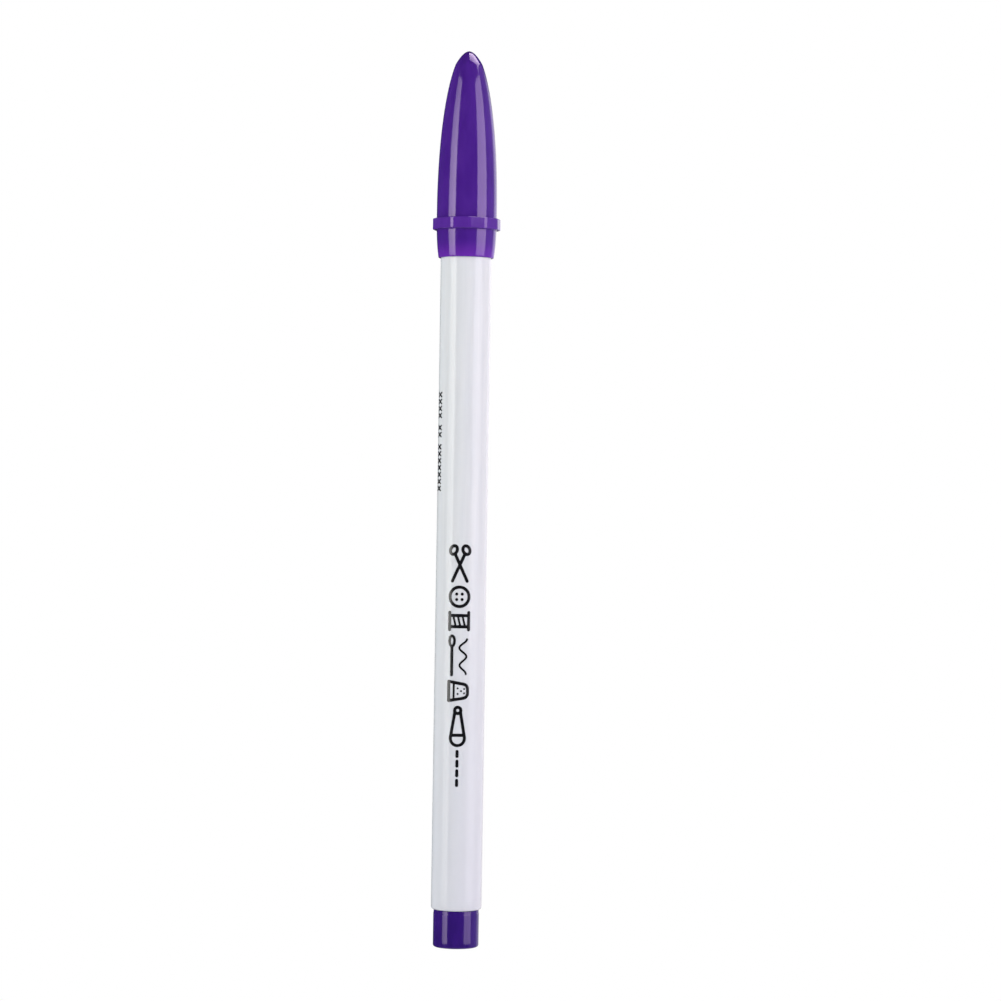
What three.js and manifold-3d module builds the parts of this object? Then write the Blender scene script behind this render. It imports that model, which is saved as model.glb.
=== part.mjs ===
// A capped fabric marking pen: a straight white barrel with a fibre ink reservoir inside, a nib in a
// turned holder at the front, a plug at the rear, and a bullet-shaped cap with a twelve-sided collar.
// Millimetres, +Z along the pen from the plug towards the cap's tip. The origin is the centre of the
// plug's flat end face, so the pen stands on the XY plane. -Y is the side that faces the reader.
import * as THREE from "three";
import { mergeVertices } from "three/addons/utils/BufferGeometryUtils.js";
import Module from "manifold-3d";

// ---- driving dimensions -----------------------------------------------------------------------

const PEN_LENGTH = 145;

const BARREL_R = 4.1;
const BARREL_WALL = 0.7;
const BARREL_REAR_Z = 6.1;
const BARREL_FRONT_Z = 119.5;
const BARREL_REAR_ROUND = 0.35;
const BARREL_FRONT_CHAMFER = 0.2;
const BARREL_REAR_LEAD = 0.15; // chamfer inside the rear end, where the plug goes in

const CAP_R = 4.86; // the cap's largest radius, just above its collar
const CAP_RIM_Z = 111.45;
const CAP_RIM_ROUND = 0.12;
const CAP_WAIST_Z = 118.5; // where the ogive starts and the skirt ends
const CAP_SKIRT_IN = 0.38; // how much the skirt draws in towards its rim
const CAP_SKIRT_SHAPE = 2.8; // exponent of the skirt's drawing in
const CAP_OGIVE_H = 27; // height at which the ogive alone would close
const CAP_OGIVE_SHAPE = 2.15; // exponent of the ogive's height
const CAP_TIP_WIDTH = 1.42; // radius of the blunt point, 1 mm below the tip
const CAP_TIP_SHAPE = 0.55; // exponent of the blunt point's depth
const CAP_BORE_R = 4.19;
const CAP_STOP_Z = 119.55; // shoulder that lands on the barrel's end
const CAP_CAVITY_R = 4.05;
const CAP_CAVITY_H = 22.7;
const CAP_RIB_COUNT = 6;
const CAP_RIB_R = 4.13; // inner face of the ribs that grip the barrel
const CAP_RIB_WIDTH = 0.5;
const CAP_RIB_START = 1.2; // height of the ribs' lower ends above the rim
const CAP_RIB_ROOT = 0.2; // how far the ribs are sunk into the wall

const COLLAR_SIDES = 12;
const COLLAR_R = 5.47; // of the round parts left between the collar's flats
const COLLAR_ROUND_PART = 5.6; // degrees that each round part spans
const COLLAR_Z = [116, 117.8];
const COLLAR_FILLET = 0.14; // the round foot that joins the collar's underside to the skirt
const COLLAR_TURN = 5.2; // degrees from -Y to the middle of the nearest round part

const LINER_MOUTH_Z = 121;
const LINER_MOUTH_LEAD = 0.15; // chamfer inside the mouth
const LINER_SHOULDER_Z = 124.4; // where the straight mouth ends and the domes start
const LINER_R = 3.74;
const LINER_MOUTH_R = 3.2;
const LINER_OUTER = { r: 3.9, height: 22.3 };
const LINER_INNER = { r: 3.3, height: 20.4 };

const HOLDER_REAR_Z = 111.5;
const HOLDER_SPIGOT_R = 3.37;
const HOLDER_SPIGOT_BORE_R = 2.6;
const HOLDER_CHAMFER = 0.3;
const HOLDER_GUIDE_R = 1.7;
const HOLDER_GUIDE_Z = 115;
const HOLDER_WEB_Z = 118.5;
const HOLDER_FLANGE_R = 3.7;
const HOLDER_FLANGE_Z = [119.52, 120.4];
const HOLDER_LAND_R = 3.1; // cylinder that the liner's mouth seals on
const HOLDER_LAND_TOP_Z = 124;
const HOLDER_TIP_R = 1.5;
const HOLDER_TIP_Z = [132, 133.5];
const VENT_COUNT = 4;
const VENT_WIDTH = 0.4;
const VENT_DEPTH_R = 1.3;

const NIB_R = 0.95;
const NIB_BORE_R = 1.0;
const NIB_REAR_Z = 106.8;
const NIB_FRONT_Z = 137.2;
const NIB_TAPER_Z = 134.4;
const NIB_POINT_R = 0.42;
const NIB_POINT_FROM = 12; // degrees above level where the taper meets the round point
const NIB_REAR_CHAMFER = [0.45, 0.9];

const RESERVOIR_REAR_Z = 19;
const RESERVOIR_FRONT_Z = 111.1;
const FILM_R = 3.18;
const FILM_WALL = 0.12;
const FIBRE_R = 2.98;
const FIBRE_INSET = 0.4; // how far the film runs past each end of the fibre
const NIB_POCKET_R = 1.15;
const NIB_POCKET_DEPTH = 4.4;

const BREATHER_R = 0.5;
const BREATHER_BORE_R = 0.3;
const BREATHER_OFFSET = 2.45;
const BREATHER_Z = [19.6, 109];
const BREATHER_GROOVE_R = 0.58;

const PLUG_R = 3.7;
const PLUG_HEAD_Z = 6.06;
const PLUG_ROUND = 0.35;
const PLUG_SPIGOT_R = 3.25;
const PLUG_SPIGOT_CHAMFER = 0.3;
const PLUG_BEAD_R = 3.38;
const PLUG_BEADS_Z = [8.5, 11, 13.5];
const PLUG_BEAD_HALF = 0.5;
const PLUG_FRONT_Z = 18.7;
const PLUG_BORE_R = 2.3;
const PLUG_BORE_FLOOR_Z = 2.4;

const SIDES = 40; // facets round every turned piece, in phase so that nested walls never touch
const FINE_SIDES = 20; // facets round the nib, and half as many corners as its bore
const BORE_RUN = 1; // how far a cutting tool runs past the face that it enters
const DOME_CROWDING = 1.8; // how much closer together a dome's points lie near its top

const COLOURS = {
  capViolet: 0x4b2590,
  plugViolet: 0x351c70,
  whitePlastic: 0xe4e6ea,
  naturalPlastic: 0xe9e9e4,
  inkedFibre: 0x55308f,
  nibFibre: 0x3f2370,
  clearFilm: 0xd8dbe2,
};

// ---- solids -----------------------------------------------------------------------------------

const wasm = await Module();
wasm.setup();

// A closed geometry as a manifold-3d solid.
function toSolid(geometry) {
  const bare = geometry.clone();
  bare.deleteAttribute("normal");
  bare.deleteAttribute("uv");
  const merged = mergeVertices(bare, 1e-4);
  return new wasm.Manifold(
    new wasm.Mesh({
      numProp: 3,
      vertProperties: new Float32Array(merged.attributes.position.array),
      triVerts: new Uint32Array(merged.index.array),
    }),
  );
}

// A manifold-3d solid as a geometry.
function toGeometry(solid) {
  const mesh = solid.getMesh();
  const geometry = new THREE.BufferGeometry();
  geometry.setAttribute("position", new THREE.BufferAttribute(mesh.vertProperties, 3));
  geometry.setIndex(new THREE.BufferAttribute(mesh.triVerts, 1));
  geometry.computeVertexNormals();
  return geometry;
}

// Turns a profile of [radius, z] points about Z. The profile runs up the outside of the piece.
function turned(profile, sides = SIDES) {
  const points = profile.map(([r, z]) => new THREE.Vector2(r, z));
  return new THREE.LatheGeometry(points, sides).rotateX(Math.PI / 2);
}

// A round bar along Z between two heights, off the axis by dx, dy.
function bar(radius, fromZ, toZ, sides = SIDES, dx = 0, dy = 0) {
  const profile = [
    [0, fromZ],
    [radius, fromZ],
    [radius, toZ],
    [0, toZ],
  ];
  return turned(profile, sides).translate(dx, dy, 0);
}

// Points of an arc about [x, y], from one direction to another in degrees.
function round(x, y, radius, fromDeg, toDeg, steps = 3) {
  const points = [];
  for (let i = 0; i <= steps; i += 1) {
    const angle = THREE.MathUtils.degToRad(fromDeg + ((toDeg - fromDeg) * i) / steps);
    points.push([x + radius * Math.cos(angle), y + radius * Math.sin(angle)]);
  }
  return points;
}

// Radius of an ogive of that base radius and height, at a height above the cap's waist.
function ogive(r, height, z) {
  const share = Math.max(0, (z - CAP_WAIST_Z) / height);
  return r * Math.sqrt(Math.max(0, 1 - share ** CAP_OGIVE_SHAPE));
}

// Points of an outline from a height up to the top, closer together where it curves in.
function domePoints(radiusAt, fromZ, topZ, steps) {
  const points = [];
  for (let i = 0; i <= steps; i += 1) {
    const z = topZ - (topZ - fromZ) * (1 - i / steps) ** DOME_CROWDING;
    points.push([radiusAt(z), z]);
  }
  return points;
}

// Points of an ogive from a height up to where it closes on the axis.
function ogivePoints(r, height, fromZ, steps) {
  return domePoints((z) => ogive(r, height, z), fromZ, CAP_WAIST_Z + height, steps);
}

// Copies of a geometry turned about Z, evenly spread, joined to or cut from a solid.
function roundAxis(solid, tool, count, operation) {
  let result = solid;
  for (let i = 0; i < count; i += 1) {
    const copy = tool.clone().rotateZ((2 * Math.PI * i) / count);
    result = result[operation](toSolid(copy));
  }
  return result;
}

function boxBetween([x0, y0, z0], [x1, y1, z1]) {
  const box = new THREE.BoxGeometry(x1 - x0, y1 - y0, z1 - z0);
  return box.translate((x0 + x1) / 2, (y0 + y1) / 2, (z0 + z1) / 2);
}

// ---- the cap ----------------------------------------------------------------------------------

// Radius of the cap at a height: a skirt that draws in towards the rim, an ogive, and a blunt point.
function capRadius(z) {
  if (z < CAP_WAIST_Z) {
    const share = (CAP_WAIST_Z - z) / (CAP_WAIST_Z - CAP_RIM_Z);
    return CAP_R - CAP_SKIRT_IN * share ** CAP_SKIRT_SHAPE;
  }
  const bluntPoint = CAP_TIP_WIDTH * (PEN_LENGTH - z) ** CAP_TIP_SHAPE;
  return Math.min(ogive(CAP_R, CAP_OGIVE_H, z), bluntPoint);
}

function capOutline() {
  const skirtSteps = 5;
  const rimR = capRadius(CAP_RIM_Z) - CAP_RIM_ROUND;
  const points = [
    [0, CAP_RIM_Z],
    ...round(rimR, CAP_RIM_Z + CAP_RIM_ROUND, CAP_RIM_ROUND, -90, 0, 2),
  ];
  for (let i = 1; i < skirtSteps; i += 1) {
    const z = CAP_RIM_Z + ((CAP_WAIST_Z - CAP_RIM_Z) * i) / skirtSteps;
    points.push([capRadius(z), z]);
  }
  return [...points, ...domePoints(capRadius, CAP_WAIST_Z, PEN_LENGTH, 20)];
}

function capCavity() {
  return [
    [0, CAP_RIM_Z - BORE_RUN],
    [CAP_BORE_R, CAP_RIM_Z - BORE_RUN],
    [CAP_BORE_R, CAP_STOP_Z],
    [CAP_CAVITY_R, CAP_STOP_Z],
    ...ogivePoints(CAP_CAVITY_R, CAP_CAVITY_H, LINER_SHOULDER_Z, 10),
  ];
}

// The collar: a disc with twelve flats, and a round part COLLAR_TURN degrees from -Y towards +X.
function capCollar() {
  const outline = [];
  for (let i = 0; i < COLLAR_SIDES; i += 1) {
    const facing = COLLAR_TURN - 90 + (360 * i) / COLLAR_SIDES;
    const half = COLLAR_ROUND_PART / 2;
    outline.push(...round(0, 0, COLLAR_R, facing - half, facing + half, 2));
  }
  const shape = new THREE.Shape(outline.map(([x, y]) => new THREE.Vector2(x, y)));
  const depth = COLLAR_Z[1] - COLLAR_Z[0];
  return new THREE.ExtrudeGeometry(shape, { depth, bevelEnabled: false }).translate(0, 0, COLLAR_Z[0]);
}

// The sloping foot under the collar. It runs on into the collar, so that the two join.
function collarFoot() {
  const footZ = COLLAR_Z[0] - COLLAR_FILLET;
  const footR = capRadius(footZ);
  const topZ = COLLAR_Z[0] + COLLAR_FILLET / 4;
  return turned([
    [0, footZ],
    [footR, footZ],
    [footR + COLLAR_FILLET, topZ],
    [0, topZ],
  ]);
}

function capShell() {
  const rib = boxBetween(
    [CAP_RIB_R, -CAP_RIB_WIDTH / 2, CAP_RIM_Z + CAP_RIB_START],
    [CAP_BORE_R + CAP_RIB_ROOT, CAP_RIB_WIDTH / 2, CAP_STOP_Z + CAP_RIB_ROOT],
  );
  const hollow = toSolid(turned(capOutline()))
    .add(toSolid(capCollar()))
    .add(toSolid(collarFoot()))
    .subtract(toSolid(turned(capCavity())));
  return toGeometry(roundAxis(hollow, rib, CAP_RIB_COUNT, "add"));
}

// The soft cup pressed into the cap, whose mouth seals round the nib holder.
function innerCap() {
  const inside = ogivePoints(LINER_INNER.r, LINER_INNER.height, LINER_SHOULDER_Z, 9).reverse();
  const outside = ogivePoints(LINER_OUTER.r, LINER_OUTER.height, LINER_SHOULDER_Z, 9);
  return turned([
    ...inside,
    [LINER_MOUTH_R, LINER_SHOULDER_Z],
    [LINER_MOUTH_R, LINER_MOUTH_Z + LINER_MOUTH_LEAD],
    [LINER_MOUTH_R + LINER_MOUTH_LEAD, LINER_MOUTH_Z],
    [LINER_R, LINER_MOUTH_Z],
    ...outside,
  ]);
}

// ---- the nib end ------------------------------------------------------------------------------

function nib() {
  const [chamferR, chamferZ] = NIB_REAR_CHAMFER;
  const point = round(0, NIB_FRONT_Z - NIB_POINT_R, NIB_POINT_R, NIB_POINT_FROM, 90);
  return turned(
    [
      [0, NIB_REAR_Z],
      [NIB_R - chamferR, NIB_REAR_Z],
      [NIB_R, NIB_REAR_Z + chamferZ],
      [NIB_R, NIB_TAPER_Z],
      ...point.slice(0, -1),
      [0, NIB_FRONT_Z],
    ],
    FINE_SIDES,
  );
}

function nibHolder() {
  const outline = [
    [HOLDER_SPIGOT_BORE_R, HOLDER_REAR_Z],
    [HOLDER_SPIGOT_R - HOLDER_CHAMFER, HOLDER_REAR_Z],
    [HOLDER_SPIGOT_R, HOLDER_REAR_Z + HOLDER_CHAMFER],
    [HOLDER_SPIGOT_R, HOLDER_FLANGE_Z[0]],
    [HOLDER_FLANGE_R, HOLDER_FLANGE_Z[0]],
    [HOLDER_FLANGE_R, HOLDER_FLANGE_Z[1] - HOLDER_CHAMFER],
    [HOLDER_FLANGE_R - HOLDER_CHAMFER, HOLDER_FLANGE_Z[1]],
    [HOLDER_LAND_R, HOLDER_FLANGE_Z[1]],
    [HOLDER_LAND_R, HOLDER_LAND_TOP_Z],
    [HOLDER_TIP_R, HOLDER_TIP_Z[0]],
    ...round(
      HOLDER_TIP_R - HOLDER_CHAMFER,
      HOLDER_TIP_Z[1] - HOLDER_CHAMFER,
      HOLDER_CHAMFER,
      0,
      90,
      2,
    ),
    [NIB_BORE_R, HOLDER_TIP_Z[1]],
    [NIB_BORE_R, HOLDER_GUIDE_Z],
    [HOLDER_GUIDE_R, HOLDER_GUIDE_Z],
    [HOLDER_GUIDE_R, HOLDER_WEB_Z],
    [HOLDER_SPIGOT_BORE_R, HOLDER_WEB_Z],
    [HOLDER_SPIGOT_BORE_R, HOLDER_REAR_Z],
  ];
  const vent = boxBetween(
    [NIB_BORE_R / 2, -VENT_WIDTH / 2, HOLDER_GUIDE_Z - BORE_RUN],
    [VENT_DEPTH_R, VENT_WIDTH / 2, HOLDER_TIP_Z[1] + BORE_RUN],
  );
  return toGeometry(roundAxis(toSolid(turned(outline)), vent, VENT_COUNT, "subtract"));
}

// ---- the barrel and what it holds -------------------------------------------------------------

function barrel() {
  const boreR = BARREL_R - BARREL_WALL;
  return turned([
    [boreR + BARREL_REAR_LEAD, BARREL_REAR_Z],
    ...round(
      BARREL_R - BARREL_REAR_ROUND,
      BARREL_REAR_Z + BARREL_REAR_ROUND,
      BARREL_REAR_ROUND,
      -90,
      0,
    ),
    [BARREL_R, BARREL_FRONT_Z - BARREL_FRONT_CHAMFER],
    [BARREL_R - BARREL_FRONT_CHAMFER, BARREL_FRONT_Z],
    [boreR, BARREL_FRONT_Z],
    [boreR, BARREL_REAR_Z + BARREL_REAR_LEAD],
    [boreR + BARREL_REAR_LEAD, BARREL_REAR_Z],
  ]);
}

function reservoirFilm() {
  return turned([
    [FILM_R - FILM_WALL, RESERVOIR_REAR_Z],
    [FILM_R, RESERVOIR_REAR_Z],
    [FILM_R, RESERVOIR_FRONT_Z],
    [FILM_R - FILM_WALL, RESERVOIR_FRONT_Z],
    [FILM_R - FILM_WALL, RESERVOIR_REAR_Z],
  ]);
}

// The fibre bundle, with a groove for the breather tube and a pocket that the nib is pushed into.
function reservoirFibre() {
  const rearZ = RESERVOIR_REAR_Z + FIBRE_INSET;
  const frontZ = RESERVOIR_FRONT_Z - FIBRE_INSET;
  const groove = bar(
    BREATHER_GROOVE_R,
    rearZ - BORE_RUN,
    frontZ + BORE_RUN,
    FINE_SIDES,
    0,
    BREATHER_OFFSET,
  );
  const pocket = bar(NIB_POCKET_R, frontZ - NIB_POCKET_DEPTH, frontZ + BORE_RUN, FINE_SIDES);
  return toGeometry(
    toSolid(bar(FIBRE_R, rearZ, frontZ)).subtract(toSolid(groove)).subtract(toSolid(pocket)),
  );
}

// A thin tube beside the fibre, which lets air to the reservoir's rear as the ink is used.
function breatherTube() {
  const outline = [
    [BREATHER_BORE_R, BREATHER_Z[0]],
    [BREATHER_R, BREATHER_Z[0]],
    [BREATHER_R, BREATHER_Z[1]],
    [BREATHER_BORE_R, BREATHER_Z[1]],
    [BREATHER_BORE_R, BREATHER_Z[0]],
  ];
  return turned(outline, FINE_SIDES).translate(0, BREATHER_OFFSET, 0);
}

function endPlug() {
  const beads = PLUG_BEADS_Z.flatMap((z) => [
    [PLUG_SPIGOT_R, z - PLUG_BEAD_HALF],
    [PLUG_BEAD_R, z],
    [PLUG_SPIGOT_R, z + PLUG_BEAD_HALF],
  ]);
  return turned([
    [0, 0],
    ...round(PLUG_R - PLUG_ROUND, PLUG_ROUND, PLUG_ROUND, -90, 0),
    ...round(PLUG_R - PLUG_ROUND / 2, PLUG_HEAD_Z - PLUG_ROUND / 2, PLUG_ROUND / 2, 0, 90, 2),
    [PLUG_SPIGOT_R, PLUG_HEAD_Z],
    ...beads,
    [PLUG_SPIGOT_R, PLUG_FRONT_Z - PLUG_SPIGOT_CHAMFER],
    [PLUG_SPIGOT_R - PLUG_SPIGOT_CHAMFER, PLUG_FRONT_Z],
    [PLUG_BORE_R, PLUG_FRONT_Z],
    [PLUG_BORE_R, PLUG_BORE_FLOOR_Z],
    [0, PLUG_BORE_FLOOR_Z],
  ]);
}

// ---- the assembly -----------------------------------------------------------------------------

function piece(name, geometry, color, roughness) {
  const material = new THREE.MeshStandardMaterial({ color, roughness, metalness: 0 });
  const mesh = new THREE.Mesh(geometry, material);
  mesh.name = name;
  return mesh;
}

const penBody = new THREE.Group();
penBody.add(
  piece("barrel", barrel(), COLOURS.whitePlastic, 0.2),
  piece("end_plug", endPlug(), COLOURS.plugViolet, 0.2),
  piece("nib_holder", nibHolder(), COLOURS.capViolet, 0.3),
  piece("nib", nib(), COLOURS.nibFibre, 0.8),
  piece("reservoir_fibre", reservoirFibre(), COLOURS.inkedFibre, 0.9),
  piece("reservoir_film", reservoirFilm(), COLOURS.clearFilm, 0.15),
  piece("breather_tube", breatherTube(), COLOURS.naturalPlastic, 0.4),
);

const cap = new THREE.Group();
cap.add(
  piece("cap_shell", capShell(), COLOURS.capViolet, 0.2),
  piece("inner_cap", innerCap(), COLOURS.naturalPlastic, 0.45),
);

const pen = new THREE.Group();
pen.add(penBody, cap);

export default pen;
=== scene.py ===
"""The looks of a capped fabric marking pen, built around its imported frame.

The pen stands on its rear plug at the origin, +Z along it, and -Y is its printed side. Shapes are
worked out in millimetres and turned into metres when a mesh is made.
"""
import math

import bmesh
import bpy
import numpy as np
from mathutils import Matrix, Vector


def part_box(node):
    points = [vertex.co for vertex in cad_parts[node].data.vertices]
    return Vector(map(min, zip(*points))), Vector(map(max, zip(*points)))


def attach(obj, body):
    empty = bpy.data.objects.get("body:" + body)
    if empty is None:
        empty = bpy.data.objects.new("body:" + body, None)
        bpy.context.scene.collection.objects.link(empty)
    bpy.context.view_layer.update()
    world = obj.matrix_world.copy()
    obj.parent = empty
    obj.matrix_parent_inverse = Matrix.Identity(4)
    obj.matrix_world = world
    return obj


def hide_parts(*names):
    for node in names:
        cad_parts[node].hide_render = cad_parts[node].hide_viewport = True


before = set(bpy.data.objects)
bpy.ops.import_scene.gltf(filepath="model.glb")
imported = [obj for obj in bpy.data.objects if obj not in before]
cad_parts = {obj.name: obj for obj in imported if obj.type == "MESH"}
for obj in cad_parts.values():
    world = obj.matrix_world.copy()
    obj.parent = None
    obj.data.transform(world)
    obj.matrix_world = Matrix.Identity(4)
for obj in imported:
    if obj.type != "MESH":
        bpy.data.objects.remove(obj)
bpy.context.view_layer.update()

MM = 0.001


# ---- sizes in millimetres, from the frame -------------------------------------------------------


def box_mm(node):
    """The lowest and highest corner of a CAD node, in millimetres."""
    low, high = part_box(node)
    return low / MM, high / MM


BARREL_LOW, BARREL_HIGH = box_mm("barrel")
PLUG_HIGH = box_mm("end_plug")[1]
CAP_LOW, CAP_HIGH = box_mm("cap_shell")
LINER_LOW, LINER_HIGH = box_mm("inner_cap")
HOLDER_LOW, HOLDER_HIGH = box_mm("nib_holder")
NIB_LOW, NIB_HIGH = box_mm("nib")
FILM_LOW, FILM_HIGH = box_mm("reservoir_film")
FIBRE_LOW, FIBRE_HIGH = box_mm("reservoir_fibre")
STRAW_LOW, STRAW_HIGH = box_mm("breather_tube")

PEN_LENGTH = CAP_HIGH.z
BARREL_R = BARREL_HIGH.x
BARREL_WALL = 0.7
BARREL_BORE_R = BARREL_R - BARREL_WALL
CAP_RIM_Z = CAP_LOW.z

# The cap's outline: a skirt below the waist, an ogive above it, and a blunt point.
CAP_R = 4.86
CAP_WAIST_Z = 118.5
CAP_SKIRT_IN = 0.38
CAP_SKIRT_SHAPE = 2.8
CAP_OGIVE_H = 27.0
CAP_OGIVE_SHAPE = 2.15
CAP_TIP_WIDTH = 1.42
CAP_TIP_SHAPE = 0.55
CAP_BORE_R = BARREL_R + 0.09
CAP_STOP_Z = BARREL_HIGH.z + 0.05
CAP_CAVITY_R = 4.05
CAP_CAVITY_H = 22.7

# The grip ribs in the cap's bore: how far above the rim they rise, and how wide their slopes are.
RIB_R = BARREL_R + 0.03
RIB_COUNT = 6
RIB_HALF_DEG = 3.4
RIB_SLOPE_DEG = 1.4
RIB_START = 0.9
RIB_LEAD = 0.6

# The collar: a disc with twelve flats, whose corners are left round.
COLLAR_SIDES = 12
COLLAR_TURN_DEG = 5.2
COLLAR_LOW_Z = 116.0
COLLAR_HIGH_Z = 117.8
COLLAR_ROUND_PART_DEG = 5.6
COLLAR_EDGE_ROUND = 0.13
COLLAR_FOOT = 0.14

# The liner: an ogive above its shoulder, and a straight mouth below it.
SHOULDER_Z = 124.4
LINER_OUTER_R = 3.9
LINER_INNER_R = 3.3
LINER_TOP_WALL = 1.9
LINER_MOUTH_R = 3.2
LINER_MOUTH_OUTER_R = 3.74
LINER_MOUTH_TOP_Z = 124.3

# The rear plug: its head has a slightly narrower neck under the barrel.
PLUG_GAP = 0.04
PLUG_NECK_IN = 0.05
PLUG_NECK_H = 0.5
PLUG_NECK_SLOPE = 0.12
PLUG_SPIGOT_R = 3.25
PLUG_BEAD_R = 3.38
PLUG_BEAD_HALF = 0.5
PLUG_BEAD_HEIGHTS = (8.5, 11.0, 13.5)
PLUG_BORE_R = 2.3
PLUG_FLOOR_Z = 2.4

# The front section, from its spigot up to its tip.
SPIGOT_R = 3.37
SPIGOT_BORE_R = 2.6
FLANGE_R = 3.7
FLANGE_LOW_Z = BARREL_HIGH.z + 0.02
FLANGE_HIGH_Z = FLANGE_LOW_Z + 0.88
LAND_R = 3.1
LAND_TOP_Z = 124
HOLDER_TIP_R = 1.5
NIB_BORE_R = 1.0
NIB_BORE_LOW_Z = 115
SOCKET_R = 1.7
SOCKET_TOP_Z = 118.5
SLOT_COUNT = 4
SLOT_DEPTH = 0.3
SLOT_HALF = 0.24
SLOT_SLOPE = 0.08

NIB_TAPER_Z = 134.4
NIB_POINT_R = 0.44
NIB_FLUTES = 18
NIB_FLUTE_DEPTH = 0.012

# The ink reservoir, its sleeve and the air straw in its groove.
POCKET_R = 1.15
POCKET_DEPTH = 4.4
GROOVE_R = 0.58
BUNDLE_EDGE = 0.06
BUNDLE_END_R = 1.6
FILM_WALL = 0.12
STRAW_BORE_R = 0.3
STRAW_SEGMENTS = 32

SEGMENTS = 160


# ---- the studio's light, as radiance ------------------------------------------------------------

SOFTBOX_AIM_Z = 145 * MM
SOFTBOX_AWAY = 0.6
FILL_AWAY = 0.9
FILL_SIZE = 0.9
FLOOR_GLOW = 0.2
RIM_LIGHT = 1.2
SIDE_LIGHT = 0.28
LIGHT_FROM_BELOW = 0.55
ROOM_LIGHT = 0.03


# ---- the camera ---------------------------------------------------------------------------------

EYE_HEIGHT = 72.32 * MM
EYE_DISTANCE = 511 * MM
EYE_RIGHT = 6.17 * MM
EYE_ROLL_DEG = -0.88
LENS_MM = 113.44


def make_camera():
    """A level camera square to the pen's printed side, rolled a little."""
    data = bpy.data.cameras.new("camera")
    data.sensor_width = 36
    data.lens = LENS_MM
    data.clip_start = 0.01
    data.clip_end = 60
    camera = bpy.data.objects.new("camera", data)
    camera.location = (EYE_RIGHT, -EYE_DISTANCE, EYE_HEIGHT)
    camera.rotation_euler = (math.radians(90), math.radians(EYE_ROLL_DEG), 0)
    bpy.context.scene.collection.objects.link(camera)
    bpy.context.scene.camera = camera


# ---- nodes --------------------------------------------------------------------------------------


def add(tree, kind, inputs=None, **settings):
    """Adds a node, sets its properties, and sets or links its inputs."""
    node = tree.nodes.new(kind)
    for key, value in settings.items():
        setattr(node, key, value)
    for key, value in (inputs or {}).items():
        if isinstance(value, bpy.types.NodeSocket):
            tree.links.new(value, node.inputs[key])
        else:
            node.inputs[key].default_value = value
    return node


def grade(tree, value, low, high, to_low=0.0, to_high=1.0):
    """A value eased from to_low to to_high as it goes from low to high."""
    node = add(
        tree,
        "ShaderNodeMapRange",
        {0: value, 1: low, 2: high, 3: to_low, 4: to_high},
        interpolation_type="SMOOTHSTEP",
    )
    return node.outputs[0]


def blend_colour(tree, share, first, second):
    """A mix of two colours, each a socket or (r, g, b)."""
    full = [c if isinstance(c, bpy.types.NodeSocket) else (*c, 1) for c in (first, second)]
    node = add(tree, "ShaderNodeMix", {0: share, 6: full[0], 7: full[1]}, data_type="RGBA")
    return node.outputs[2]


def noise(tree, place, scale, detail=2.0, rough=0.5):
    """The value of a noise whose features are about 1 / scale of the place's unit."""
    node = add(
        tree,
        "ShaderNodeTexNoise",
        {"Vector": place, "Scale": scale, "Detail": detail, "Roughness": rough},
    )
    return node.outputs["Fac"]


def calculate(tree, operation, first, second):
    """A sum, product or other result of two values."""
    return add(tree, "ShaderNodeMath", {0: first, 1: second}, operation=operation).outputs[0]


def place_mm(tree, stretch=(1, 1, 1)):
    """A point of the piece in millimetres, with each axis multiplied by its stretch."""
    coords = add(tree, "ShaderNodeTexCoord")
    scale = tuple(s / MM for s in stretch)
    return add(
        tree, "ShaderNodeMapping", {"Vector": coords.outputs["Object"], "Scale": scale}
    ).outputs[0]


def height_mm(tree):
    """The height of a point of the piece above the pen's rear face, in millimetres."""
    return add(tree, "ShaderNodeSeparateXYZ", {0: place_mm(tree)}).outputs["Z"]


def new_material(name, **fixed):
    """A material with one Principled shader. The fixed inputs are set on its own sockets."""
    material = bpy.data.materials.new(name)
    material.use_nodes = True
    tree = material.node_tree
    shader = tree.nodes["Principled BSDF"]
    for key, value in fixed.items():
        shader.inputs[key.replace("_", " ")].default_value = value
    return material, tree, shader


def bump(tree, shader, height, distance, strength=1.0):
    """Raises the surface by a height from 0 to 1 times a distance in metres."""
    node = add(
        tree,
        "ShaderNodeBump",
        {"Height": height, "Distance": distance, "Strength": strength},
    )
    tree.links.new(node.outputs[0], shader.inputs["Normal"])


def link(tree, value, shader, name):
    """Feeds a value into one of the shader's inputs."""
    tree.links.new(value, shader.inputs[name])


# ---- materials ----------------------------------------------------------------------------------


def scuffs(tree):
    """Fine handling marks along the pen, as a value from 0 to 1."""
    streaks = noise(tree, place_mm(tree, (9, 9, 0.35)), 1.0, 3.0, 0.6)
    patches = noise(tree, place_mm(tree), 0.16, 2.0)
    fine = grade(tree, streaks, 0.52, 0.72)
    return calculate(tree, "MULTIPLY", fine, grade(tree, patches, 0.4, 0.7))


def collar_mask(tree):
    """1 on the collar's rim, whose colour is painted lighter as a painted sheen and whose surface is
    finely pitted, and 0 elsewhere.
    """
    parts = add(tree, "ShaderNodeSeparateXYZ", {0: place_mm(tree)}).outputs
    flat = add(tree, "ShaderNodeCombineXYZ", {0: parts["X"], 1: parts["Y"]}).outputs[0]
    radius = add(tree, "ShaderNodeVectorMath", {0: flat}, operation="LENGTH").outputs["Value"]
    outer = grade(tree, radius, 5.0, 5.2)
    above = grade(tree, parts["Z"], COLLAR_LOW_Z - 0.1, COLLAR_LOW_Z + 0.1)
    return calculate(tree, "MULTIPLY", outer, above)


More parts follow.
